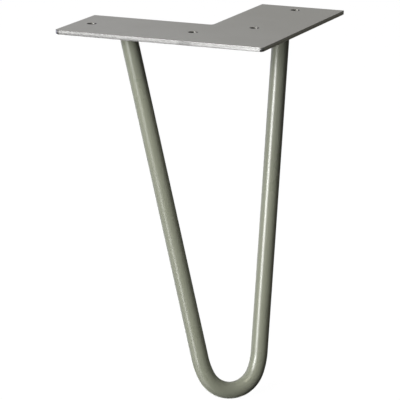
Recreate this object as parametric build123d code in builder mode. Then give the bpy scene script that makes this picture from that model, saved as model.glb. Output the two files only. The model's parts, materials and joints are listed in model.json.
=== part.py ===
"""Two-rod hairpin table leg: one bent round bar welded under an L-shaped steel mounting plate.

Frame: millimetres, +Z up. The origin lies on the plate's top face, where the centrelines of
its two arms cross. The left arm runs along -X and the right arm along +Y, so the leg is
symmetric about the vertical plane y = -x.
"""
import os
from math import acos, atan2, cos, degrees, hypot, radians, sin

from build123d import *

os.makedirs("parts", exist_ok=True)

# Overall height, from the plate's top face to the foot on the floor
leg_height = 203.2

# Mounting plate, blanked from sheet
arm_length = 120.65  # from the outer corner to the end of an arm
arm_width = 49.6
plate_thickness = 2.4
outer_corner_radius = 2.0
inner_corner_radius = 2.0
top_edge_break = 0.15
bottom_edge_roll = 0.45  # the rounding that blanking leaves along the lower edge

# Screw holes, in a row along each arm
hole_diameter = 5.2
hole_pitch = 60.0
hole_end_margin = 10.2  # from the end of the arm to the first hole
hole_edge_margin = 25.4  # from the plate's outer edge to the row
hole_edge_break = 0.2

# Hairpin rod, sizes on its centreline
rod_diameter = 9.525
rod_reach = 88.9  # from the plate's outer edge to the rod's end, along the arm
foot_inset = 27.0  # from both outer edges of the plate to the foot
bend_radius = 15.875
bend_half_angle = 65.0  # the tight part of the bend, to each side of the foot
shoulder_radius = 38.1  # where the bend opens out into the straight legs

# Fillet weld round each end of the rod
weld_plate_leg = 4.0  # width on the plate
weld_rod_leg = 4.2  # height on the rod

# Places that follow from the sizes above
rod_radius = rod_diameter / 2
outer_corner = Vector(arm_width / 2, -arm_width / 2, 0)
underside = Plane.XY.offset(-plate_thickness)
symmetry_plane = Plane(origin=(0, 0, 0), z_dir=(1, 1, 0))
left_rod_end = Vector(outer_corner.X - rod_reach, 0, -plate_thickness)
right_rod_end = Vector(0, outer_corner.Y + rod_reach, -plate_thickness)
foot = Vector(outer_corner.X - foot_inset, outer_corner.Y + foot_inset, rod_radius - leg_height)

# The hairpin's own plane: x across the legs, y down from the middle of the rod's ends to the foot
rod_ends_middle = (left_rod_end + right_rod_end) / 2
across = (right_rod_end - left_rod_end).normalized()
down = (foot - rod_ends_middle).normalized()
hairpin_plane = Plane(origin=rod_ends_middle, x_dir=across, z_dir=across.cross(down))
half_spread = (right_rod_end - rod_ends_middle).length
fall = (foot - rod_ends_middle).length

# The shoulder arc turns until its tangent points at the rod's end
tight_turn = radians(bend_half_angle)
shoulder_x = (bend_radius - shoulder_radius) * sin(tight_turn)
shoulder_y = fall - bend_radius + (bend_radius - shoulder_radius) * cos(tight_turn)
rod_end_distance = hypot(half_spread - shoulder_x, shoulder_y)
rod_end_bearing = atan2(half_spread - shoulder_x, -shoulder_y)
half_turn = degrees(rod_end_bearing - acos(shoulder_radius / rod_end_distance))
shoulder_turn = half_turn - bend_half_angle

# Mounting plate
with BuildPart() as mounting_plate:
    with BuildSketch():
        with Locations(outer_corner):
            Rectangle(arm_length, arm_width, align=(Align.MAX, Align.MIN))
            Rectangle(arm_width, arm_length, align=(Align.MAX, Align.MIN))
        inner_corner = (-arm_width / 2, arm_width / 2)
        fillet(vertices().sort_by_distance(inner_corner)[1:], outer_corner_radius)
        fillet(vertices().sort_by_distance(inner_corner)[0], inner_corner_radius)
    extrude(amount=-plate_thickness)
    fillet(faces().sort_by(Axis.Z)[0].outer_wire().edges(), bottom_edge_roll)
    chamfer(faces().sort_by(Axis.Z)[-1].outer_wire().edges(), top_edge_break)
    first_hole = arm_length - hole_end_margin
    along_arm = (first_hole, first_hole - hole_pitch)
    left_holes = [(outer_corner.X - place, outer_corner.Y + hole_edge_margin) for place in along_arm]
    right_holes = [(outer_corner.X - hole_edge_margin, outer_corner.Y + place) for place in along_arm]
    with Locations(*left_holes, *right_holes):
        Hole(hole_diameter / 2)
    rims = faces().sort_by(Axis.Z)[-1].inner_wires()
    chamfer([rim.edge() for rim in rims], hole_edge_break)
mounting_plate.part.label = "mounting_plate"
export_step(mounting_plate.part, "parts/mounting_plate.step")

# Hairpin rod: half the bend and one straight leg, mirrored, then both ends cut flush with the plate
with BuildPart() as hairpin_rod:
    with BuildLine(hairpin_plane) as bar_line:
        tight_bend = JernArc((0, fall), (1, 0), bend_radius, -bend_half_angle)
        shoulder = JernArc(tight_bend @ 1, tight_bend % 1, shoulder_radius, -shoulder_turn)
        leg_run = (right_rod_end - shoulder @ 1).length + rod_diameter
        PolarLine(shoulder @ 1, leg_run, direction=shoulder % 1)
        mirror(about=symmetry_plane)
    with BuildSketch(Plane(origin=foot, x_dir=(0, 0, 1), z_dir=across)):
        Circle(rod_radius)
    sweep(path=bar_line.wire())
    split(bisect_by=underside, keep=Keep.BOTTOM)
hairpin_rod.part.label = "hairpin_rod"
export_step(hairpin_rod.part, "parts/hairpin_rod.step")

# Fillet weld beads: crowned collars, cut from a ball that passes through both toes of the weld
bead_base_radius = rod_radius + weld_plate_leg
bead_centre_height = (bead_base_radius**2 - rod_radius**2 - weld_rod_leg**2) / (2 * weld_rod_leg)
bead_radius = hypot(bead_base_radius, bead_centre_height)

with BuildPart() as right_weld_bead:
    with Locations(right_rod_end + (0, 0, bead_centre_height)):
        Sphere(bead_radius)
    split(bisect_by=underside, keep=Keep.BOTTOM)
    add(hairpin_rod.part, mode=Mode.SUBTRACT)
right_weld_bead.part.label = "right_weld_bead"
export_step(right_weld_bead.part, "parts/right_weld_bead.step")

with BuildPart() as left_weld_bead:
    mirror(right_weld_bead.part, about=symmetry_plane)
left_weld_bead.part.label = "left_weld_bead"
export_step(left_weld_bead.part, "parts/left_weld_bead.step")
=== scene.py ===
"""Looks of a two-rod hairpin table leg: blanked plate, bent lacquered rod, rippled welds and a studio stage.

Everything is in metres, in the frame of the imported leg: +Z up, the origin on the plate's top face where the
centrelines of its two arms cross, the left arm along -X and the right arm along +Y.
"""

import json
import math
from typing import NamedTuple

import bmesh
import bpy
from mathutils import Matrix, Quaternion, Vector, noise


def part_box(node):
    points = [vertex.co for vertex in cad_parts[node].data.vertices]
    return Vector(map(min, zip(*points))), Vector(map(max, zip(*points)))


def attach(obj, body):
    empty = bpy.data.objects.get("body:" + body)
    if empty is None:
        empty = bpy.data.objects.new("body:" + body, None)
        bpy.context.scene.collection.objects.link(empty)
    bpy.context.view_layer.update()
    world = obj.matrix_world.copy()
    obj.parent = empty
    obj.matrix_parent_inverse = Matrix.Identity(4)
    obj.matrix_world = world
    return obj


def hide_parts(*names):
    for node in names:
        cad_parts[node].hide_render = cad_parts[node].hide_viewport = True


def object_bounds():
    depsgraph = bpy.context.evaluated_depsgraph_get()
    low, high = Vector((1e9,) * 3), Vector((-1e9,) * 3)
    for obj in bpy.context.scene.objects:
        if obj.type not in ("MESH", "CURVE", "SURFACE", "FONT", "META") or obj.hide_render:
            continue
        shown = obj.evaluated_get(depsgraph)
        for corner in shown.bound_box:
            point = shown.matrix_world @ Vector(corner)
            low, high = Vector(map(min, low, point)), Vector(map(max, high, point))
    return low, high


bl_info = {
    "name": "Hairpin Table Leg",
    "version": (1, 0, 0),
    "blender": (4, 5, 0),
    "location": "View3D > Sidebar > Hairpin Leg",
    "description": "Builds the plate, the rod and the welds of a hairpin table leg, and a stage for it",
    "category": "Object",
}

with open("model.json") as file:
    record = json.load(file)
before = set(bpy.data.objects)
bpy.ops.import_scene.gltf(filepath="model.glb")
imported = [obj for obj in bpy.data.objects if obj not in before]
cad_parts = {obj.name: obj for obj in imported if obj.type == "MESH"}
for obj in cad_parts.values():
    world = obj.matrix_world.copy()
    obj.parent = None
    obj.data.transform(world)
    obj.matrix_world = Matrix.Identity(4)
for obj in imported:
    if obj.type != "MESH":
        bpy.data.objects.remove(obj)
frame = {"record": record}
cad_low, cad_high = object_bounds()

MM = 0.001
BODY = "root"

# How far a piece's box may differ from its node's, and a bead's box with the ripples on it
FIT = 0.15 * MM
RIPPLED_FIT = 0.3 * MM

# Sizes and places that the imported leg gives
mounts = {mount["name"]: mount for mount in frame["record"]["mounts"]}
plate_low, plate_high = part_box("mounting_plate")
PLATE_THICKNESS = plate_high.z - plate_low.z
ARM_LENGTH = plate_high.x - plate_low.x
ARM_WIDTH = 2 * plate_high.x
UNDERSIDE = plate_low.z
FOOT = Vector(mounts["foot"]["pos_m"])
HOLE_RADIUS = mounts["left_arm_holes"]["dims"]["hole_r_mm"] * MM


def bead_place(node):
    """Middle of the rod's end inside a weld bead, on the plate's underside, and the bead's base radius."""
    low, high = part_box(node)
    middle = (low + high) / 2
    return Vector((middle.x, middle.y, UNDERSIDE)), (high.x - low.x) / 2


# Both beads are alike
LEFT_ROD_END, _ = bead_place("left_weld_bead")
RIGHT_ROD_END, BEAD_BASE_RADIUS = bead_place("right_weld_bead")


def hole_places():
    """Centres of the screw holes on the plate's top face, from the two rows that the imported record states."""
    places = []
    for name in ("left_arm_holes", "right_arm_holes"):
        middle = Vector(mounts[name]["pos_m"])
        sizes = mounts[name]["dims"]
        pitch = Vector((sizes.get("spacing_x_mm", 0.0), sizes.get("spacing_y_mm", 0.0), 0.0)) * MM
        first = middle - pitch * (sizes["count"] - 1) / 2
        places += [first + pitch * step for step in range(sizes["count"])]
    return places


# Sizes and colours that a user would change

def length(name, description, default):
    """A length in metres that shows in the scene's own unit."""
    return bpy.props.FloatProperty(
        name=name, description=description, default=default, unit="LENGTH", precision=5
    )


def angle(name, description, degrees):
    """An angle, given in degrees and kept in radians."""
    return bpy.props.FloatProperty(
        name=name, description=description, default=math.radians(degrees), unit="ROTATION"
    )


def colour(name, description, default):
    """A linear colour."""
    return bpy.props.FloatVectorProperty(
        name=name, description=description, default=default, subtype="COLOR", size=3, min=0.0, max=1.0
    )


def share(name, description, default):
    """A number from 0 to 1."""
    return bpy.props.FloatProperty(
        name=name, description=description, default=default, min=0.0, max=1.0, subtype="FACTOR"
    )


def count(name, description, default):
    """A whole number of repeats or steps."""
    return bpy.props.IntProperty(name=name, description=description, default=default, min=3)


class PlateSettings(bpy.types.PropertyGroup):
    """Mounting plate, blanked from bare steel sheet."""

    corner_radius: length("Corner radius", "Rounding of the outer and the inner corner, from above", 2.0 * MM)
    crisp_radius: length("Crisp radius", "Rounding of the corners that the last cut left sharp", 0.6 * MM)
    blunt_radius: length("Blunt radius", "Rounding of the left arm's knocked outer corner", 3.0 * MM)
    top_edge_break: length("Top edge break", "Small bevel along the upper edge", 0.15 * MM)
    bottom_edge_roll: length("Bottom edge roll", "Rounding of the lower edge, from blanking", 0.45 * MM)
    hole_edge_break: length("Hole edge break", "Bevel round the rim of each screw hole", 0.2 * MM)
    torn_band: length("Torn band", "Height of the torn, sparkling band of the cut edge", 1.2 * MM)
    torn_depth: length("Torn depth", "How deep the torn band is pitted", 0.025 * MM)
    torn_grain: length("Torn grain", "Length of the pits in the torn band", 1.6 * MM)
    burnished_lean: angle("Burnished lean", "Slant of the smooth band under the torn one", 6.0)
    edge_step: length("Edge step", "Spacing of the mesh along the cut edge", 0.5 * MM)
    steel: colour("Steel", "Bare cold-rolled sheet", (0.56, 0.553, 0.532))
    # The sheet's face turns to this darker and warmer colour, in patches, towards the right arm
    steel_right_arm: colour("Warm steel", "Sheet where the oil film has dried on", (0.482, 0.473, 0.44))
    cut_edge: colour("Cut edge", "Freshly sheared metal", (0.225, 0.224, 0.22))
    burnished: colour("Burnished edge", "Smooth band of the cut edge", (0.165, 0.164, 0.161))
    # Painted highlight: the smooth band of the front edge is drawn in this lighter colour towards the front
    # corner
    burnished_highlight: colour("Rubbed edge", "Smooth band brightened by handling", (0.225, 0.224, 0.22))
    # Painted light: the cut edges that face along X, the +X side and the left arm's end, are drawn this many
    # times brighter
    side_edge_light: bpy.props.FloatProperty(
        name="Fresh edge", description="How much brighter the edges cut across the grain are", default=3.0
    )
    scuff_place: length("Scuff place", "Middle, along X, of the scuff on the front cut edge", -19.5 * MM)
    scuff_length: length("Scuff length", "Length of the scuff", 10.0 * MM)
    scuff_shade: share("Scuff shade", "How bright the scuff is beside the metal round it", 0.72)
    # Painted shade: the walls of the screw holes are drawn in this dark steel for the shade inside them
    bore_shade: colour("Bored metal", "Oily wall of a screw hole", (0.14, 0.137, 0.13))
    roughness: share("Roughness", "Dullness of the sheet's face", 0.40)
    torn_roughness: share("Torn roughness", "Dullness of the torn band", 0.50)
    burnished_roughness: share("Burnished roughness", "Dullness of the smooth band", 0.32)
    bored_roughness: share("Bored roughness", "Dullness of the holes' walls", 0.42)


class RodSettings(bpy.types.PropertyGroup):
    """Round bar, bent double and lacquered."""

    diameter: length("Diameter", "Bar stock diameter", 9.525 * MM)
    bend_radius: length("Bend radius", "Centreline radius of the tight part of the bend", 15.875 * MM)
    bend_half_angle: angle("Bend half angle", "Turn of the tight part, to each side of the foot", 65.0)
    shoulder_radius: length("Shoulder radius", "Centreline radius where the bend opens out", 38.1 * MM)
    path_steps: count("Path steps", "Rings of the mesh along the bar", 560)
    round_steps: count("Round steps", "Sides of each ring", 64)
    lacquer: colour("Lacquer", "Olive-grey lacquer", (0.177, 0.185, 0.143))
    lacquer_thin: colour("Thin lacquer", "Lacquer so thin that the steel greys it", (0.182, 0.19, 0.15))
    roughness: share("Roughness", "Satin of the lacquer", 0.28)


class WeldSettings(bpy.types.PropertyGroup):
    """Fillet welds round the rod's two ends."""

    rod_leg: length("Rod leg", "Height of the bead on an upright rod", 4.2 * MM)
    ripples: count("Ripples", "Ripples round one bead", 22)
    ripple_height: length("Ripple height", "Height of a ripple over the hollow beside it", 0.28 * MM)
    crescent: share("Crescent", "How far the middle of a ripple runs ahead of its ends", 0.55)
    metal: colour("Weld metal", "Metal as it froze", (0.36, 0.355, 0.34))
    heat_tint: colour("Heat tint", "Straw tint along the toes of the bead", (0.30, 0.235, 0.16))
    roughness: share("Roughness", "Dullness of the bead", 0.42)


class StageSettings(bpy.types.PropertyGroup):
    """Camera, lights and floor."""

    camera_azimuth: angle("Camera azimuth", "Turn of the camera round the leg from the -Y side", 23.585)
    camera_elevation: angle("Camera elevation", "Height of the camera over the horizon", 14.615)
    camera_roll: angle("Camera roll", "Turn of the camera about its own line of sight", 0.198)
    camera_distance: length("Camera distance", "From the camera to the point that it looks at", 1.31631)
    camera_lens: bpy.props.FloatProperty(
        name="Lens", description="Focal length", default=216.706, unit="CAMERA"
    )
    camera_target: bpy.props.FloatVectorProperty(
        name="Target", description="Point in the middle of the picture",
        default=(-0.02598, 0.011395, -0.09506), subtype="XYZ", unit="LENGTH",
    )
    floor: colour("Floor", "Pale table, lit from below", (0.98, 0.98, 0.98))
    brightness: bpy.props.FloatProperty(
        name="Brightness", description="All softboxes together", default=1.0, min=0.0, max=10.0
    )
    light_distance: length("Light distance", "From the middle of the leg to each softbox", 1.5)
    fill: share("Fill", "Even light from all round", 0.004)


# Node wiring

class Wiring:
    """Adds nodes to a tree and joins them, so that a formula reads as one line."""

    # Most of a smooth noise lies between these
    noise_low, noise_high = 0.3, 0.7

    def __init__(self, tree):
        self.tree = tree

    def feed(self, node, inputs):
        """Fill inputs of a node. Each is a value, or a socket to link from."""
        for key, value in inputs.items():
            if isinstance(value, bpy.types.NodeSocket):
                self.tree.links.new(value, node.inputs[key])
            else:
                node.inputs[key].default_value = value

    def add(self, kind, inputs=None, **settings):
        """A new node with its settings and inputs."""
        node = self.tree.nodes.new(kind)
        for name, value in settings.items():
            setattr(node, name, value)
        self.feed(node, inputs or {})
        return node

    def math(self, operation, *operands):
        """Result of a math node."""
        return self.add("ShaderNodeMath", dict(enumerate(operands)), operation=operation).outputs[0]

    def total(self, first, *others):
        """Sum of several numbers."""
        for other in others:
            first = self.math("ADD", first, other)
        return first

    def vector(self, operation, *operands):
        """Result of a vector math node."""
        return self.add("ShaderNodeVectorMath", dict(enumerate(operands)), operation=operation).outputs[0]

    def scaled(self, vector, factor):
        """A vector times a number."""
        operands = {"Vector": vector, "Scale": factor}
        return self.add("ShaderNodeVectorMath", operands, operation="SCALE").outputs[0]

    def noise(self, place, scale, detail):
        """Smooth noise from 0 to 1."""
        look = {"Vector": place, "Scale": scale, "Detail": detail}
        return self.add("ShaderNodeTexNoise", look).outputs["Fac"]

    def streaked_noise(self, place, scales, detail):
        """Smooth noise from 0 to 1 whose scale differs along the three axes."""
        return self.noise(self.vector("MULTIPLY", place, scales), 1.0, detail)

    def remapped(self, value, low, high, new_low, new_high):
        """A number moved from one range to another, held within it."""
        ends = {"Value": value, "From Min": low, "From Max": high, "To Min": new_low, "To Max": new_high}
        return self.add("ShaderNodeMapRange", ends).outputs["Result"]

    def rising(self, value, low, high):
        """A share that grows from 0 to 1 while a number goes from low to high."""
        return self.remapped(value, low, high, 0.0, 1.0)

    def falling(self, value, low, high):
        """A share that falls from 1 to 0 while a number goes from low to high."""
        return self.remapped(value, low, high, 1.0, 0.0)

    def varied(self, pattern, low, high):
        """A number that a smooth noise moves between two ends."""
        return self.remapped(pattern, self.noise_low, self.noise_high, low, high)

    def between(self, factor, first, second):
        """A number between two numbers."""
        return self.remapped(factor, 0.0, 1.0, first, second)

    def mixed(self, factor, first, second):
        """A colour between two colours."""
        return self.add("ShaderNodeMix", {0: factor, 6: first, 7: second}, data_type="RGBA").outputs[2]

    def bumped(self, height, distance, strength):
        """A surface normal disturbed by a height."""
        inputs = {"Height": height, "Distance": distance, "Strength": strength}
        return self.add("ShaderNodeBump", inputs).outputs["Normal"]

    def painted(self, name, output="Fac"):
        """A value that a mesh's points keep under a name, for a material."""
        return self.add("ShaderNodeAttribute", attribute_name=name).outputs[output]

    def kept(self, name, kind="FLOAT"):
        """A value that points keep under a name, for a geometry."""
        reader = self.add("GeometryNodeInputNamedAttribute", {"Name": name}, data_type=kind)
        return reader.outputs["Attribute"]

    def keep(self, geometry, name, value, kind="FLOAT"):
        """A geometry whose points keep a value under a name."""
        inputs = {"Geometry": geometry, "Name": name, "Value": value}
        return self.add("GeometryNodeStoreNamedAttribute", inputs, data_type=kind).outputs[0]


def opaque(rgb):
    """A colour property as the four numbers that a colour socket takes."""
    return (*rgb, 1.0)


def new_finish(name):
    """A material with an empty tree but for its shader, as the wiring, the shader node and the material."""
    material = bpy.data.materials.new(name)
    material.use_nodes = True
    material.node_tree.nodes.clear()
    wiring = Wiring(material.node_tree)
    shader = wiring.add("ShaderNodeBsdfPrincipled")
    wiring.add("ShaderNodeOutputMaterial", {"Surface": shader.outputs["BSDF"]})
    return wiring, shader, material


# Finishes

# How fine the patterns are, in waves per metre, evenly or along each axis
ROLLING_GRAIN = (60.0, 2600.0, 2600.0)
OIL_FILM = 42.0
EDGE_PITS = (560.0, 560.0, 300.0)
LACQUER_STREAKS = (700.0, 700.0, 18.0)
LACQUER_CLOUD = 55.0
ORANGE_PEEL = 1100.0
WELD_SCALE = 900.0
RIPPLE_UNEVENNESS = 260.0


def rolled_face(wiring, settings, place, grain):
    """Colour and roughness of the sheet's face, darker and warmer in patches towards the right arm."""
    film = wiring.noise(place, OIL_FILM, detail=4.0)
    right_arm_way = {0: place, 1: (1.0, 1.0, 0.0)}
    way_along = wiring.add("ShaderNodeVectorMath", right_arm_way, operation="DOT_PRODUCT").outputs["Value"]
    towards_right_arm = wiring.math("MULTIPLY", way_along, 1.0 / ARM_LENGTH)
    film_patches = wiring.varied(film, -0.15, 0.15)
    # Darker and warmer towards the right arm, in patches
    darkened = wiring.rising(wiring.total(towards_right_arm, film_patches), -0.6, 0.45)
    face = wiring.mixed(darkened, opaque(settings.steel), opaque(settings.steel_right_arm))
    grain_shade = wiring.remapped(grain, 0.25, 0.75, 0.97, 1.03)
    film_dullness = wiring.varied(film, -0.01, 0.01)
    grain_dullness = wiring.varied(grain, -0.02, 0.02)
    roughness = wiring.total(settings.roughness, film_dullness, grain_dullness)
    return wiring.scaled(face, grain_shade), roughness


def sheared_edge(wiring, settings, place, facing, torn, pits):
    """Colour and roughness of the cut edge: torn and smooth bands, a painted highlight on the smooth band
    towards the front corner, painted light on the edges that face along X, and a scuff along the front.
    """
    along_front = wiring.add("ShaderNodeSeparateXYZ", {0: place}).outputs["X"]
    on_front = wiring.falling(facing["Y"], -0.8, 0.0)
    # Painted highlight: the smooth band of the front edge grows lighter towards the front corner
    highlight_reach = 0.4 * ARM_WIDTH
    by_corner = wiring.rising(along_front, -highlight_reach, highlight_reach)
    burnished_highlight = wiring.math("MULTIPLY", by_corner, on_front)
    burnished = wiring.mixed(burnished_highlight, opaque(settings.burnished), opaque(settings.burnished_highlight))
    glints = wiring.varied(pits, 0.88, 1.12)
    sparkling = wiring.scaled(settings.cut_edge, glints)
    # Painted light: the edges that face along X are drawn brighter
    side_light = wiring.remapped(wiring.math("ABSOLUTE", facing["X"]), 0.1, 0.6, 1.0, settings.side_edge_light)
    cut = wiring.scaled(wiring.mixed(torn, burnished, sparkling), side_light)
    half_scuff = settings.scuff_length / 2
    from_scuff = wiring.math("ABSOLUTE", wiring.math("SUBTRACT", along_front, settings.scuff_place))
    by_scuff = wiring.falling(from_scuff, half_scuff / 2, half_scuff)
    scuffed = wiring.math("MULTIPLY", by_scuff, on_front)
    scuff_shade = wiring.between(scuffed, 1.0, settings.scuff_shade)
    pit_dullness = wiring.varied(pits, 0.08, -0.08)
    torn_roughness = wiring.total(settings.torn_roughness, pit_dullness)
    roughness = wiring.between(torn, settings.burnished_roughness, torn_roughness)
    return wiring.scaled(cut, scuff_shade), roughness


def sheet_steel(settings):
    """Bare cold-rolled sheet: rolling grain along X on the faces, sheared edges with painted light, and holes
    with painted shade.
    """
    wiring, shader, material = new_finish("sheet_steel")
    place = wiring.add("ShaderNodeTexCoord").outputs["Object"]
    normal = wiring.add("ShaderNodeNewGeometry").outputs["True Normal"]
    facing = wiring.add("ShaderNodeSeparateXYZ", {0: normal}).outputs
    edge = wiring.falling(wiring.math("ABSOLUTE", facing["Z"]), 0.35, 0.75)
    torn = wiring.painted("torn")
    bore = wiring.painted("bore")
    grain = wiring.streaked_noise(place, ROLLING_GRAIN, detail=3.0)
    pits = wiring.streaked_noise(place, EDGE_PITS, detail=3.0)
    face, face_roughness = rolled_face(wiring, settings, place, grain)
    cut, cut_roughness = sheared_edge(wiring, settings, place, facing, torn, pits)
    bare = wiring.mixed(edge, face, cut)
    bare_roughness = wiring.between(edge, face_roughness, cut_roughness)
    height = wiring.between(edge, grain, wiring.math("MULTIPLY", pits, torn))
    wiring.feed(shader, {
        "Metallic": 1.0,
        # Painted shade: the walls of the screw holes take the dark bore colour
        "Base Color": wiring.mixed(bore, bare, opaque(settings.bore_shade)),
        "Roughness": wiring.between(bore, bare_roughness, settings.bored_roughness),
        "Normal": wiring.bumped(height, distance=0.02 * MM, strength=0.5),
    })
    return material


def olive_lacquer(settings):
    """Satin olive-grey lacquer over drawn bar: faint lengthwise streaks and a slight orange peel."""
    wiring, shader, material = new_finish("olive_lacquer")
    skin = wiring.painted("bar_skin", "Vector")
    streaks = wiring.streaked_noise(skin, LACQUER_STREAKS, detail=3.0)
    cloud = wiring.noise(skin, LACQUER_CLOUD, detail=3.0)
    peel = wiring.noise(skin, ORANGE_PEEL, detail=1.0)
    streaked_cloud = wiring.math("MULTIPLY", wiring.total(streaks, cloud), 0.5)
    thin = wiring.rising(streaked_cloud, 0.38, 0.62)
    wiring.feed(shader, {
        "Base Color": wiring.mixed(thin, opaque(settings.lacquer), opaque(settings.lacquer_thin)),
        "Roughness": wiring.total(settings.roughness, wiring.varied(cloud, -0.01, 0.01)),
        "Normal": wiring.bumped(wiring.total(peel, streaks), distance=0.006 * MM, strength=0.12),
    })
    return material


def weld_metal(settings):
    """Weld metal as it froze: grey ripples with a straw tint along both toes, and painted shade in the hollows
    between the ripples.
    """
    wiring, shader, material = new_finish("weld_metal")
    place = wiring.add("ShaderNodeTexCoord").outputs["Object"]
    crown = wiring.painted("bead_crown")
    ripple = wiring.painted("bead_ripple")
    scale = wiring.noise(place, WELD_SCALE, detail=4.0)
    ragged_crown = wiring.total(crown, wiring.varied(scale, -0.15, 0.15))
    toes = wiring.falling(ragged_crown, 0.15, 0.6)
    tinted = wiring.mixed(toes, opaque(settings.metal), opaque(settings.heat_tint))
    # Painted shade: the hollows between the ripples are drawn darker
    hollow_shade = wiring.remapped(ripple, 0.0, 0.7, 0.62, 1.0)
    wiring.feed(shader, {
        "Metallic": 1.0,
        "Base Color": wiring.scaled(tinted, hollow_shade),
        "Roughness": wiring.total(settings.roughness, wiring.varied(scale, -0.08, 0.10)),
        "Normal": wiring.bumped(scale, distance=0.03 * MM, strength=0.4),
    })
    return material


def pale_floor(rgb):
    """Pale table lit from below, so bright that the shadows on it all but vanish."""
    wiring, shader, material = new_finish("pale_floor")
    wiring.feed(shader, {
        "Base Color": (0.04, 0.04, 0.04, 1.0),
        "Roughness": 1.0,
        "Specular IOR Level": 0.0,
        "Emission Color": opaque(rgb),
        "Emission Strength": 1.0,
    })
    return material


# Meshes and pieces

def new_object(name, data):
    """An object in the scene for a mesh, a light or a camera. A mesh has its place in its points."""
    made = bpy.data.objects.new(name, data)
    bpy.context.scene.collection.objects.link(made)
    return made


def finished_mesh(shell, name):
    """A mesh with what a shell holds, which is then let go."""
    mesh = bpy.data.meshes.new(name)
    shell.to_mesh(mesh)
    shell.free()
    return mesh


def band(shell, rings):
    """Smooth faces between closed rings of points that follow one another down a wall."""
    for upper, lower in zip(rings, rings[1:]):
        for index, point in enumerate(upper):
            after = (index + 1) % len(upper)
            face = shell.faces.new((lower[index], lower[after], upper[after], point))
            face.smooth = True


def seat(piece, slot, *nodes):
    """Ride a finished piece on the leg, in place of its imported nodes."""
    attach(piece, BODY)
    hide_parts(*nodes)


def require_fit(piece, node, allowed=FIT):
    """Stop if a piece's box differs from that of the node that it replaces."""
    corners = [Vector(corner) for corner in piece.bound_box]
    low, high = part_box(node)
    for axis in range(3):
        ends = [corner[axis] for corner in corners]
        if max(abs(min(ends) - low[axis]), abs(max(ends) - high[axis])) > allowed:
            raise RuntimeError(f"{piece.name} doesn't fill the box of {node} along axis {axis}")


def new_tree(name, inputs):
    """A Geometry Nodes tree with named inputs, as the tree, its wiring and its input sockets by name."""
    tree = bpy.data.node_groups.new(name, "GeometryNodeTree")
    for label, kind in inputs.items():
        tree.interface.new_socket(label, in_out="INPUT", socket_type=kind)
    tree.interface.new_socket("Geometry", in_out="OUTPUT", socket_type="NodeSocketGeometry")
    wiring = Wiring(tree)
    return tree, wiring, wiring.add("NodeGroupInput").outputs


def end_tree(wiring, geometry, finish):
    """Close a tree with realized instances and a material."""
    realized = wiring.add("GeometryNodeRealizeInstances", {"Geometry": geometry}).outputs["Geometry"]
    finished = wiring.add("GeometryNodeSetMaterial", {"Geometry": realized, "Material": finish})
    wiring.add("NodeGroupOutput", {"Geometry": finished.outputs["Geometry"]})


def grow(piece, tree, values):
    """Run a tree on a piece with these input values, and keep the result as the piece's plain mesh."""
    modifier = piece.modifiers.new(tree.name, "NODES")
    modifier.node_group = tree
    for item in tree.interface.items_tree:
        if item.in_out == "INPUT" and item.name in values:
            modifier[item.identifier] = values[item.name]
    depsgraph = bpy.context.evaluated_depsgraph_get()
    evaluated = piece.evaluated_get(depsgraph)
    grown = bpy.data.meshes.new_from_object(evaluated, preserve_all_data_layers=True, depsgraph=depsgraph)
    seed = piece.data
    piece.modifiers.clear()
    piece.data = grown
    bpy.data.meshes.remove(seed)
    grown.name = piece.name


# Mounting plate

def blank_outline(settings):
    """Points round the L-shaped blank, counter-clockwise from above, each with its outward direction."""
    near = ARM_WIDTH / 2
    far = ARM_LENGTH - near
    corners = [
        (Vector((near, -near)), settings.corner_radius),
        (Vector((near, far)), settings.crisp_radius),
        (Vector((-near, far)), settings.crisp_radius),
        (Vector((-near, near)), settings.corner_radius),
        (Vector((-far, near)), settings.crisp_radius),
        (Vector((-far, -near)), settings.blunt_radius),
    ]
    arc_steps = 8
    points = []
    for index, (corner, radius) in enumerate(corners):
        before, _ = corners[index - 1]
        after, next_radius = corners[(index + 1) % len(corners)]
        arriving = (corner - before).normalized()
        leaving = (after - corner).normalized()
        middle = corner - arriving * radius + leaving * radius
        convex = 1.0 if arriving.cross(leaving) > 0 else -1.0
        for step in range(arc_steps + 1):
            turn = math.pi / 2 * step / arc_steps
            spoke = arriving * math.sin(turn) - leaving * math.cos(turn)
            points.append((middle + spoke * radius, spoke * convex))
        run = (after - corner).length - radius - next_radius
        outward = Vector((leaving.y, -leaving.x))
        start = corner + leaving * radius
        steps = round(run / settings.edge_step)
        points += [(start + leaving * (run * step / steps), outward) for step in range(1, steps)]
    return points


def cut_edge_rows(settings):
    """Section of the blanked edge from top to bottom: depth, inset from the outline, and how torn it is."""
    top = settings.top_edge_break
    under_top = 1.2 * top
    roll = settings.bottom_edge_roll
    roll_start = PLATE_THICKNESS - roll
    torn_end = top + settings.torn_band
    round_top = 1 - math.sqrt(0.5)
    rows = [(0.0, top, 0.0), (round_top * top, round_top * top, 0.0), (top, 0.0, 0.0), (under_top, 0.0, 0.0)]
    torn_steps = 8
    for step in range(1, torn_steps):
        depth = top + settings.torn_band * step / torn_steps
        rows.append((depth, 0.0, math.sin(math.pi * step / torn_steps)))
    drawn_in = (roll_start - torn_end) * math.tan(settings.burnished_lean)
    rows += [(torn_end, 0.0, 0.0), (roll_start, drawn_in, 0.0)]
    roll_steps = 6
    for step in range(1, roll_steps + 1):
        turn = math.pi / 2 * step / roll_steps
        inset = drawn_in + (roll - drawn_in) * (1 - math.cos(turn))
        rows.append((roll_start + roll * math.sin(turn), inset, 0.0))
    return rows


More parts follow.
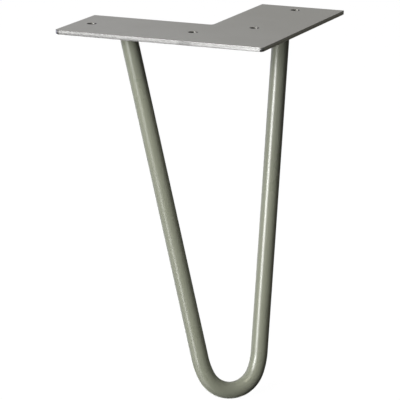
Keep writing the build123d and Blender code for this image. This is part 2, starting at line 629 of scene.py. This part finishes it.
def cut_edge_rings(shell, torn_mark, settings):
    """Rings of points down the cut edge, pitted where it is torn and marked with how torn it is."""
    outline = blank_outline(settings)
    pit_change = 0.5
    rings = []
    for row, (depth, inset, torn) in enumerate(cut_edge_rows(settings)):
        ring = []
        for spot, outward in outline:
            pit = noise.noise(Vector((*(spot / settings.torn_grain), row * pit_change)))
            recess = torn * settings.torn_depth * (0.5 + 0.5 * pit)
            edge = spot - outward * (inset + recess)
            point = shell.verts.new((edge.x, edge.y, plate_high.z - depth))
            point[torn_mark] = torn
            ring.append(point)
        rings.append(ring)
    return rings


def hole_rows(settings):
    """Section of a screw hole from top to bottom: depth and radius."""
    rim = settings.hole_edge_break
    wall_steps = 4
    rows = [(0.0, HOLE_RADIUS + rim), (rim, HOLE_RADIUS)]
    for step in range(1, wall_steps + 1):
        rows.append((rim + (PLATE_THICKNESS - rim) * step / wall_steps, HOLE_RADIUS))
    return rows


def hole_rings(shell, bore_mark, middle, settings):
    """Rings of points down a screw hole, with all but the first and the last marked as its wall, for the
    painted shade.
    """
    sides = 64
    rings = []
    for depth, radius in hole_rows(settings):
        ring = []
        for step in range(sides):
            turn = -2 * math.pi * step / sides
            spot = middle + Vector((radius * math.cos(turn), radius * math.sin(turn), -depth))
            ring.append(shell.verts.new(spot))
        rings.append(ring)
    for ring in rings[1:-1]:
        for point in ring:
            point[bore_mark] = 1.0
    return rings


def ring_edges(shell, ring):
    """Edges along a closed ring of points."""
    return [shell.edges.get((point, ring[index - 1])) for index, point in enumerate(ring)]


def blanked_plate(settings):
    """Mesh of the plate: cut edge, drilled holes and flat faces. Its points say what is torn and bored."""
    shell = bmesh.new()
    torn_mark = shell.verts.layers.float.new("torn")
    bore_mark = shell.verts.layers.float.new("bore")
    walls = [cut_edge_rings(shell, torn_mark, settings)]
    walls += [hole_rings(shell, bore_mark, middle, settings) for middle in hole_places()]
    for rings in walls:
        band(shell, rings)
    for rim in (0, -1):
        edges = [edge for rings in walls for edge in ring_edges(shell, rings[rim])]
        bmesh.ops.triangle_fill(shell, use_beauty=True, edges=edges)
    bmesh.ops.recalc_face_normals(shell, faces=shell.faces)
    return finished_mesh(shell, "steel_plate")


class HAIRPIN_OT_blank_plate(bpy.types.Operator):
    """Make the L-shaped mounting plate with its four screw holes."""

    bl_idname = "hairpin.blank_plate"
    bl_label = "Blank Plate"

    def execute(self, context):
        settings = context.scene.hairpin_plate
        mesh = blanked_plate(settings)
        mesh.materials.append(sheet_steel(settings))
        piece = new_object("steel_plate", mesh)
        require_fit(piece, "mounting_plate")
        seat(piece, "plate_steel", "mounting_plate")
        return {"FINISHED"}


# Bent rod

def hairpin_bend(settings):
    """Directions and lengths of the bend, worked out from the rod's two ends and its foot."""
    radius = settings.diameter / 2
    foot = FOOT + Vector((0.0, 0.0, radius))
    ends_middle = (LEFT_ROD_END + RIGHT_ROD_END) / 2
    across = (RIGHT_ROD_END - LEFT_ROD_END).normalized()
    half_spread = (RIGHT_ROD_END - ends_middle).length
    rise = (ends_middle - foot).length
    up = (ends_middle - foot).normalized()
    tight, wide = settings.bend_radius, settings.shoulder_radius
    tight_turn = settings.bend_half_angle
    shoulder_x = (tight - wide) * math.sin(tight_turn)
    shoulder_y = tight - (tight - wide) * math.cos(tight_turn)
    reach = Vector((half_spread - shoulder_x, rise - shoulder_y))
    half_turn = math.atan2(reach.y, reach.x) + math.asin(wide / reach.length)
    return {
        "Foot": foot,
        "Across": across,
        "Up": up,
        "Rod Radius": radius,
        "Tight Radius": tight,
        "Tight Turn": tight_turn,
        "Shoulder Radius": wide,
        "Shoulder Turn": half_turn - tight_turn,
        "Leg Run": math.sqrt(reach.length_squared - wide**2),
        "Cut Height": UNDERSIDE,
        "Path Steps": settings.path_steps,
        "Round Steps": settings.round_steps,
    }


class HalfBend(NamedTuple):
    """Sockets for the lengths in one half of the bar, and for the turn from the foot to its straight leg."""

    tight: bpy.types.NodeSocket
    shoulder: bpy.types.NodeSocket
    whole: bpy.types.NodeSocket
    turn: bpy.types.NodeSocket


def half_bend(wiring, given):
    """One half of the bar, measured from the inputs of a tree."""
    tight = wiring.math("MULTIPLY", given["Tight Radius"], given["Tight Turn"])
    shoulder = wiring.math("MULTIPLY", given["Shoulder Radius"], given["Shoulder Turn"])
    whole = wiring.total(tight, shoulder, given["Leg Run"])
    turn = wiring.total(given["Tight Turn"], given["Shoulder Turn"])
    return HalfBend(tight, shoulder, whole, turn)


def bent_place(wiring, given, half, signed):
    """Where a point of a bar from -1 to 1 goes: round a tight arc, a wider shoulder and up a straight leg."""
    side = wiring.math("SIGN", signed)
    run = wiring.math("MULTIPLY", wiring.math("ABSOLUTE", signed), half.whole)

    # Share of that run in each stretch of the bend
    on_tight = wiring.math("MINIMUM", run, half.tight)
    past_tight = wiring.math("MAXIMUM", wiring.math("SUBTRACT", run, half.tight), 0.0)
    on_shoulder = wiring.math("MINIMUM", past_tight, half.shoulder)
    on_leg = wiring.math("SUBTRACT", past_tight, on_shoulder)
    tight_angle = wiring.math("DIVIDE", on_tight, given["Tight Radius"])
    added_angle = wiring.math("DIVIDE", on_shoulder, given["Shoulder Radius"])
    shoulder_angle = wiring.total(given["Tight Turn"], added_angle)

    def swept(function, radius, first, last):
        """How far an arc goes along one direction between two angles."""
        change = wiring.math("SUBTRACT", wiring.math(function, last), wiring.math(function, first))
        return wiring.math("MULTIPLY", radius, change)

    sideways = wiring.total(
        swept("SINE", given["Tight Radius"], 0.0, tight_angle),
        swept("SINE", given["Shoulder Radius"], given["Tight Turn"], shoulder_angle),
        wiring.math("MULTIPLY", on_leg, wiring.math("COSINE", half.turn)),
    )
    upwards = wiring.total(
        swept("COSINE", given["Tight Radius"], tight_angle, 0.0),
        swept("COSINE", given["Shoulder Radius"], shoulder_angle, given["Tight Turn"]),
        wiring.math("MULTIPLY", on_leg, wiring.math("SINE", half.turn)),
    )
    sideways_step = wiring.scaled(given["Across"], wiring.math("MULTIPLY", side, sideways))
    upward_step = wiring.scaled(given["Up"], upwards)
    return wiring.vector("ADD", wiring.vector("ADD", given["Foot"], sideways_step), upward_step)


def levelled(wiring, given, half, bar):
    """A bent bar whose rings slant little by little near an end, until the last one lies flat."""
    bar_along = wiring.kept("bar_along")
    leg_side = wiring.math("MULTIPLY", wiring.math("SIGN", bar_along), wiring.math("COSINE", half.turn))
    leg_rise = wiring.math("SINE", half.turn)
    leg = wiring.vector("ADD", wiring.scaled(given["Across"], leg_side), wiring.scaled(given["Up"], leg_rise))
    here = wiring.add("GeometryNodeInputPosition").outputs[0]
    height = wiring.add("ShaderNodeSeparateXYZ", {0: here}).outputs["Z"]
    climb = wiring.add("ShaderNodeSeparateXYZ", {0: leg}).outputs["Z"]
    to_end = wiring.math("SUBTRACT", half.whole, wiring.math("ABSOLUTE", bar_along))
    to_plate = wiring.math("DIVIDE", wiring.math("SUBTRACT", given["Cut Height"], height), climb)
    rod_diameter = wiring.math("MULTIPLY", given["Rod Radius"], 2.0)
    near_end = wiring.falling(to_end, 0.0, rod_diameter)
    slide = wiring.math("MULTIPLY", wiring.math("SUBTRACT", to_plate, to_end), near_end)
    moves = {"Geometry": bar, "Offset": wiring.scaled(leg, slide)}
    return wiring.add("GeometryNodeSetPosition", moves).outputs[0]


def bent_bar_tree(finish):
    """Tree that bends a straight bar to a hairpin, with both of its ends cut level."""
    sizes = (
        "Rod Radius", "Tight Radius", "Tight Turn", "Shoulder Radius", "Shoulder Turn", "Leg Run",
        "Cut Height",
    )
    inputs = dict.fromkeys(("Foot", "Across", "Up"), "NodeSocketVector")
    inputs |= dict.fromkeys(sizes, "NodeSocketFloat")
    inputs |= dict.fromkeys(("Path Steps", "Round Steps"), "NodeSocketInt")
    tree, wiring, given = new_tree("bent_bar", inputs)
    half = half_bend(wiring, given)

    # Straight bar from -1 to 1 in even steps, then bent. Its points keep how far from the foot they lie
    line = wiring.add("GeometryNodeCurvePrimitiveLine", {"Start": (-1.0, 0.0, 0.0), "End": (1.0, 0.0, 0.0)})
    stepped = wiring.add("GeometryNodeResampleCurve", {
        "Curve": line.outputs[0], "Count": given["Path Steps"],
    })
    here = wiring.add("GeometryNodeInputPosition").outputs[0]
    signed = wiring.add("ShaderNodeSeparateXYZ", {0: here}).outputs["X"]
    along = wiring.math("MULTIPLY", signed, half.whole)
    bent = wiring.add("GeometryNodeSetPosition", {
        "Geometry": wiring.keep(stepped.outputs[0], "bar_along", along),
        "Position": bent_place(wiring, given, half, signed),
    })

    # Round section along the bent bar. Its points keep their place on it
    circle = wiring.add("GeometryNodeCurvePrimitiveCircle", {
        "Resolution": given["Round Steps"], "Radius": given["Rod Radius"],
    })
    section = wiring.keep(circle.outputs[0], "bar_section", here, "FLOAT_VECTOR")
    bar = wiring.add("GeometryNodeCurveToMesh", {
        "Curve": bent.outputs[0], "Profile Curve": section, "Fill Caps": True,
    })
    level = levelled(wiring, given, half, bar.outputs[0])

    # Places on the unbent bar, kept for the lacquer
    upright = wiring.add("ShaderNodeCombineXYZ", {"Z": wiring.kept("bar_along")}).outputs[0]
    unbent = wiring.vector("ADD", wiring.kept("bar_section", "FLOAT_VECTOR"), upright)
    skin = wiring.keep(level, "bar_skin", unbent, "FLOAT_VECTOR")
    smooth = wiring.add("GeometryNodeSetShadeSmooth", {"Geometry": skin})
    end_tree(wiring, smooth.outputs[0], finish)
    return tree


class HAIRPIN_OT_bend_rod(bpy.types.Operator):
    """Bend the round bar to a hairpin, with both ends cut level under the plate."""

    bl_idname = "hairpin.bend_rod"
    bl_label = "Bend Rod"

    def execute(self, context):
        settings = context.scene.hairpin_rod
        piece = new_object("bent_rod", bpy.data.meshes.new("bent_rod"))
        grow(piece, bent_bar_tree(olive_lacquer(settings)), hairpin_bend(settings))
        require_fit(piece, "hairpin_rod")
        seat(piece, "rod_lacquer", "hairpin_rod")
        return {"FINISHED"}


# Weld beads

def rod_reach_at(depth, heading, leg, radius):
    """How far the rod's surface lies from the middle of its end, at a depth under it and in a heading."""
    drift = Vector((-leg.x, -leg.y, 0.0)) * (depth / leg.z)
    side = heading.cross(leg)
    drift_side = drift.cross(leg)
    inner = side.dot(drift_side)
    outer = side.length_squared
    return (inner + math.sqrt(inner**2 - outer * (drift_side.length_squared - radius**2))) / outer


def weld_ring(name, rod_leg, rod_end, leg, rod_radius):
    """Closed smooth mesh of one bead: a ball's skin from toe to toe, and back along the rod and the plate.

    Its points keep how far round the bead they lie, and how far across it from the plate to the rod.
    """
    columns, rows = 264, 18
    toe_rounds = 6
    sunk = 0.05 * MM
    ball_lift = (BEAD_BASE_RADIUS**2 - rod_radius**2 - rod_leg**2) / (2 * rod_leg)
    ball_radius = math.hypot(BEAD_BASE_RADIUS, ball_lift)
    plate_toe = math.asin(ball_lift / ball_radius)
    shell = bmesh.new()
    turn_mark = shell.verts.layers.float.new("bead_turn")
    across_mark = shell.verts.layers.float.new("bead_across")
    rings = [[] for _ in range(rows + 2)]
    for column in range(columns):
        turn = 2 * math.pi * column / columns
        heading = Vector((math.cos(turn), math.sin(turn), 0.0))

        # The toe on the leaning rod is found round by round, a little inside its surface
        depth = rod_leg
        for _ in range(toe_rounds):
            toe = rod_reach_at(depth, heading, leg, rod_radius) - sunk
            depth = math.sqrt(ball_radius**2 - toe**2) - ball_lift
        rod_toe = math.asin((ball_lift + depth) / ball_radius)
        section = []
        for row in range(rows + 1):
            dip = plate_toe + (rod_toe - plate_toe) * row / rows
            section.append((ball_radius * math.cos(dip), ball_lift - ball_radius * math.sin(dip)))
        section.append((rod_reach_at(0.0, heading, leg, rod_radius) - sunk, 0.0))
        for row, (reach, drop) in enumerate(section):
            point = shell.verts.new(rod_end + heading * reach + Vector((0.0, 0.0, drop)))
            point[turn_mark] = column / columns
            point[across_mark] = min(row / rows, 1.0)
            rings[row].append(point)
    band(shell, [*rings, rings[0]])
    bmesh.ops.recalc_face_normals(shell, faces=shell.faces)
    return finished_mesh(shell, name)


def weld_ripple_tree(finish):
    """Tree that raises crescent ripples round a smooth bead, fading out at both toes."""
    tree, wiring, given = new_tree("weld_ripples", {
        "Geometry": "NodeSocketGeometry",
        "Ripples": "NodeSocketInt",
        "Ripple Height": "NodeSocketFloat",
        "Crescent": "NodeSocketFloat",
        "Seed": "NodeSocketFloat",
    })
    crown = wiring.math("SINE", wiring.math("MULTIPLY", wiring.kept("bead_across"), math.pi))
    uneven = wiring.add("ShaderNodeTexNoise", {
        "W": given["Seed"], "Scale": RIPPLE_UNEVENNESS, "Detail": 1.0,
    }, noise_dimensions="4D").outputs["Fac"]
    phase = wiring.total(
        wiring.math("MULTIPLY", wiring.kept("bead_turn"), given["Ripples"]),
        wiring.math("MULTIPLY", crown, given["Crescent"]),
        wiring.varied(uneven, -0.18, 0.18),
    )
    wave = wiring.math("ABSOLUTE", wiring.math("SINE", wiring.math("MULTIPLY", phase, math.pi)))
    bluntness = 0.6
    ripple = wiring.math("POWER", wave, bluntness)
    lift = wiring.math("MULTIPLY", wiring.math("MULTIPLY", ripple, crown), given["Ripple Height"])
    normal = wiring.add("GeometryNodeInputNormal").outputs[0]
    raised = wiring.add("GeometryNodeSetPosition", {
        "Geometry": given["Geometry"], "Offset": wiring.scaled(normal, lift),
    })
    crowned = wiring.keep(raised.outputs[0], "bead_crown", crown)
    rippled = wiring.keep(crowned, "bead_ripple", ripple)
    end_tree(wiring, rippled, finish)
    return tree


class HAIRPIN_OT_lay_welds(bpy.types.Operator):
    """Lay a rippled fillet weld round each end of the rod."""

    bl_idname = "hairpin.lay_welds"
    bl_label = "Lay Welds"

    def execute(self, context):
        settings = context.scene.hairpin_weld
        bend = hairpin_bend(context.scene.hairpin_rod)
        half_turn = bend["Tight Turn"] + bend["Shoulder Turn"]
        tree = weld_ripple_tree(weld_metal(settings))
        beads = (("left", LEFT_ROD_END, -1.0, 3.0), ("right", RIGHT_ROD_END, 1.0, 8.0))
        for name, rod_end, side, seed in beads:
            leg = bend["Across"] * (side * math.cos(half_turn)) + bend["Up"] * math.sin(half_turn)
            ring = weld_ring(f"{name}_weld", settings.rod_leg, rod_end, leg, bend["Rod Radius"])
            piece = new_object(f"{name}_weld", ring)
            grow(piece, tree, {
                "Ripples": settings.ripples,
                "Ripple Height": settings.ripple_height,
                "Crescent": settings.crescent,
                "Seed": seed,
            })
            require_fit(piece, f"{name}_weld_bead", RIPPLED_FIT)
            seat(piece, "weld_metal", f"{name}_weld_bead")
        return {"FINISHED"}


# Stage

def look_back(azimuth, elevation):
    """Direction from the leg to what stands round it. Azimuth 0 is the -Y side and 90 degrees the +X side."""
    level = math.cos(elevation)
    return Vector((math.sin(azimuth) * level, -math.cos(azimuth) * level, math.sin(elevation)))


class Softbox(NamedTuple):
    """Where a softbox stands round the leg and how large it looks from there, in degrees, and its light."""

    azimuth: float
    elevation: float
    width: float
    height: float
    radiance: float
    tint: tuple = (1.0, 1.0, 1.0)


COOL = (1.0, 1.0, 1.34)
WARM = (1.03, 1.0, 0.8)
SOFTBOXES = {
    "key": Softbox(azimuth=-20.0, elevation=15.0, width=17.0, height=14.0, radiance=24.2),
    "key_diffuser": Softbox(azimuth=-18.0, elevation=16.0, width=32.0, height=30.0, radiance=6.7),
    "upper_strip": Softbox(azimuth=-12.0, elevation=38.0, width=18.0, height=40.0, radiance=3.5),
    "overhead": Softbox(azimuth=13.0, elevation=55.0, width=22.0, height=14.0, radiance=8.2, tint=WARM),
    "table_glare": Softbox(azimuth=-16.0, elevation=-15.0, width=20.0, height=10.0, radiance=10.5),
    "table_card": Softbox(azimuth=-25.0, elevation=-40.0, width=60.0, height=30.0, radiance=1.45),
    "left_card": Softbox(azimuth=-100.0, elevation=5.0, width=50.0, height=70.0, radiance=0.52, tint=COOL),
    "back_card": Softbox(azimuth=-145.0, elevation=25.0, width=70.0, height=30.0, radiance=0.53),
    "rear_card": Softbox(azimuth=-145.0, elevation=-36.0, width=44.0, height=50.0, radiance=2.8),
    "ceiling": Softbox(azimuth=-160.0, elevation=80.0, width=80.0, height=80.0, radiance=0.4),
    "right_card": Softbox(azimuth=114.0, elevation=32.0, width=92.0, height=34.0, radiance=0.34),
    "front_right_card": Softbox(azimuth=42.0, elevation=25.0, width=44.0, height=30.0, radiance=0.2),
    "right_rear_card": Softbox(
        azimuth=156.0, elevation=-15.0, width=44.0, height=44.0, radiance=0.09, tint=WARM
    ),
}


def hang_softbox(name, softbox, settings):
    """An area light that faces the middle of the leg and stays out of the picture."""
    lamp = bpy.data.lights.new(name, "AREA")
    lamp.shape = "RECTANGLE"
    lamp.size = 2 * settings.light_distance * math.tan(math.radians(softbox.width / 2))
    lamp.size_y = 2 * settings.light_distance * math.tan(math.radians(softbox.height / 2))
    lamp.energy = softbox.radiance * settings.brightness * math.pi * lamp.size * lamp.size_y
    lamp.color = softbox.tint
    box = new_object(name, lamp)
    middle = (cad_low + cad_high) / 2
    away = look_back(math.radians(softbox.azimuth), math.radians(softbox.elevation))
    box.location = middle + away * settings.light_distance
    box.rotation_mode = "QUATERNION"
    box.rotation_quaternion = away.to_track_quat("Z", "Y")
    box.visible_camera = False


def studio_floor(settings):
    """Wide round floor at the foot's level. It throws no light on the leg, and lights shine up through it."""
    sides, radius = 128, 12.0
    shell = bmesh.new()
    bmesh.ops.create_circle(shell, cap_ends=True, segments=sides, radius=radius)
    bmesh.ops.translate(shell, verts=shell.verts, vec=(0.0, 0.0, FOOT.z))
    mesh = finished_mesh(shell, "floor")
    mesh.materials.append(pale_floor(settings.floor))
    floor = new_object("floor", mesh)
    floor.visible_diffuse = False
    floor.visible_glossy = False
    floor.visible_shadow = False


def studio_world(settings):
    """Even dim light from all round, with a white ground behind the leg for the camera."""
    world = bpy.data.worlds.new("studio")
    world.use_nodes = True
    world.node_tree.nodes.clear()
    wiring = Wiring(world.node_tree)
    seen = wiring.add("ShaderNodeLightPath").outputs["Is Camera Ray"]
    dim = wiring.add("ShaderNodeBackground", {"Color": (1.0, 1.0, 1.0, 1.0), "Strength": settings.fill})
    white = wiring.add("ShaderNodeBackground", {"Color": opaque(settings.floor), "Strength": 1.0})
    both = wiring.add("ShaderNodeMixShader", {0: seen, 1: dim.outputs[0], 2: white.outputs[0]})
    wiring.add("ShaderNodeOutputWorld", {"Surface": both.outputs[0]})
    bpy.context.scene.world = world


def studio_camera(settings):
    """Long lens, a little above the leg and to the right of the left arm."""
    lens = bpy.data.cameras.new("camera")
    lens.lens = settings.camera_lens
    lens.clip_end = 50.0
    camera = new_object("camera", lens)
    away = look_back(settings.camera_azimuth, settings.camera_elevation)
    camera.location = Vector(settings.camera_target) + away * settings.camera_distance
    camera.rotation_mode = "QUATERNION"
    level = away.to_track_quat("Z", "Y")
    camera.rotation_quaternion = level @ Quaternion((0.0, 0.0, 1.0), settings.camera_roll)
    bpy.context.scene.camera = camera


class HAIRPIN_OT_set_stage(bpy.types.Operator):
    """Set up the floor, the lights and the camera."""

    bl_idname = "hairpin.set_stage"
    bl_label = "Set Stage"

    def execute(self, context):
        settings = context.scene.hairpin_stage
        studio_floor(settings)
        studio_world(settings)
        for name, softbox in SOFTBOXES.items():
            hang_softbox(name, softbox, settings)
        studio_camera(settings)
        context.scene.view_settings.view_transform = "Standard"
        return {"FINISHED"}


# Add-on

# Each step's name in the scene, its settings and its button
STEPS = (
    ("hairpin_plate", PlateSettings, HAIRPIN_OT_blank_plate),
    ("hairpin_rod", RodSettings, HAIRPIN_OT_bend_rod),
    ("hairpin_weld", WeldSettings, HAIRPIN_OT_lay_welds),
    ("hairpin_stage", StageSettings, HAIRPIN_OT_set_stage),
)


class HAIRPIN_PT_leg(bpy.types.Panel):
    """Buttons and sizes of the leg."""

    bl_label = "Hairpin Leg"
    bl_space_type = "VIEW_3D"
    bl_region_type = "UI"
    bl_category = "Hairpin Leg"

    def draw(self, context):
        for name, group, operator in STEPS:
            part = self.layout.box()
            part.operator(operator.bl_idname)
            settings = getattr(context.scene, name)
            for setting in group.__annotations__:
                part.prop(settings, setting)


def register():
    """Make the settings, the buttons and the panel known."""
    for name, group, operator in STEPS:
        bpy.utils.register_class(group)
        setattr(bpy.types.Scene, name, bpy.props.PointerProperty(type=group))
        bpy.utils.register_class(operator)
    bpy.utils.register_class(HAIRPIN_PT_leg)


def unregister():
    """Take the panel, the buttons and the settings away again."""
    bpy.utils.unregister_class(HAIRPIN_PT_leg)
    for name, group, operator in reversed(STEPS):
        bpy.utils.unregister_class(operator)
        delattr(bpy.types.Scene, name)
        bpy.utils.unregister_class(group)


def main():
    """Build the leg and its stage."""
    register()
    bpy.ops.hairpin.blank_plate()
    bpy.ops.hairpin.bend_rod()
    bpy.ops.hairpin.lay_welds()
    bpy.ops.hairpin.set_stage()


if __name__ == "__main__":
    main()
